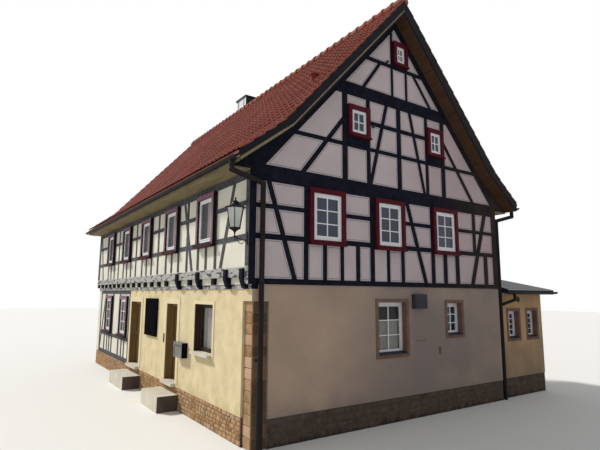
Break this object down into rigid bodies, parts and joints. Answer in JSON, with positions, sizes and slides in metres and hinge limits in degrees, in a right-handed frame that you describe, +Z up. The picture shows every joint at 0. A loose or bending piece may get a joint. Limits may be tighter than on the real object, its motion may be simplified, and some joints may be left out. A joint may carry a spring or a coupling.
{
  "type": "half timbered house",
  "caption": "Half timbered house with a rendered ground floor, a jettied timber storey, a steep tiled roof with kicked eaves, two hinged doors and a low annex.",
  "frame": {"origin": "the middle of the ground floor's underside, level with the lowest ground", "axes": "+Z up; +Y along the long street side, away from the gable front; +X along the gable front, away from the street"},
  "size_m": [12.04, 15.16, 11.6],
  "materials": {
    "rubble_stone": "rough rubble",
    "floor_slab": "matte concrete",
    "beige_render": "matte render",
    "yellow_render": "matte lime render",
    "surround_render": "matte render",
    "red_sandstone": "dressed sandstone",
    "pale_stone": "worn stone",
    "door_frame_wood": "painted wood",
    "door_leaf_wood": "painted wood",
    "handle_metal": "satin",
    "grey_timber": "weathered grey paint",
    "black_timber": "satin black-blue paint",
    "cream_infill": "matte lime plaster",
    "white_infill": "matte lime plaster",
    "floor_boards": "plain boards",
    "roof_boards": "brown stained boards",
    "clay_tiles": "matte clay",
    "verge_wood": "satin black paint",
    "soffit_wood": "ochre stained boards",
    "brown_sheet": "dark brown",
    "chimney_render": "pale render",
    "oxblood_wood": "satin paint",
    "white_wood": "satin paint",
    "window_pane": "clear",
    "lantern_iron": "satin black",
    "sign_black": "gloss black",
    "letterbox_grey": "satin grey",
    "vent_grey": "satin dark grey",
    "annex_render": "matte render",
    "annex_sheet": "dark sheet"
  },
  "bodies": {
    "house": {"plinth_long_walls": "rubble_stone", "plinth_end_walls": "rubble_stone", "annex_base": "rubble_stone", "ground_floor": "floor_slab", "front_wall": "beige_render", "rear_wall": "beige_render", "east_wall": "beige_render", "street_walls": "yellow_render", "street_lintels": "yellow_render", "plaster_surrounds": "surround_render", "corner_pillar": "red_sandstone", "stone_window_frames": "red_sandstone", "stone_sills": "pale_stone", "door_steps": "pale_stone", "door_frames": "door_frame_wood", "street_frame": "grey_timber", "street_ground_frame": "grey_timber", "street_plate": "grey_timber", "joist_ends": "grey_timber", "front_frame": "black_timber", "rear_frame": "black_timber", "east_frame": "black_timber", "front_gable_frame": "black_timber", "rear_gable_frame": "black_timber", "knee_consoles": "black_timber", "street_infill": "cream_infill", "east_infill": "cream_infill", "front_infill": "white_infill", "rear_infill": "white_infill", "upper_floor": "floor_boards", "attic_floor": "floor_boards", "loft_floor": "floor_boards", "street_roof_deck": "roof_boards", "east_roof_deck": "roof_boards", "street_tiles": "clay_tiles", "east_tiles": "clay_tiles", "ridge_tiles": "clay_tiles", "verge_boards": "verge_wood", "eaves_soffits": "soffit_wood", "gutters": "brown_sheet", "downpipes": "brown_sheet", "chimney": "chimney_render", "window_casings": "oxblood_wood", "window_sashes": "white_wood", "window_glass": "window_pane", "corner_lantern": "lantern_iron", "sign_board": "sign_black", "letterbox": "letterbox_grey", "vent_box": "vent_grey", "annex_walls": "annex_render", "annex_roof": "annex_sheet"},
    "near_door": {"near_door_leaf": "door_leaf_wood", "near_door_handles": "handle_metal"},
    "far_door": {"far_door_leaf": "door_leaf_wood", "far_door_handles": "handle_metal"}
  },
  "joints": [
    {"name": "near_door_hinge", "type": "hinge", "parent": "house", "child": "near_door", "pos_m": [-3.973, -2.864, 1.7], "axis": [0, 0, -1], "range_deg": [0, 90]},
    {"name": "far_door_hinge", "type": "hinge", "parent": "house", "child": "far_door", "pos_m": [-3.973, 0.616, 1.7], "axis": [0, 0, -1], "range_deg": [0, 90]}
  ]
}
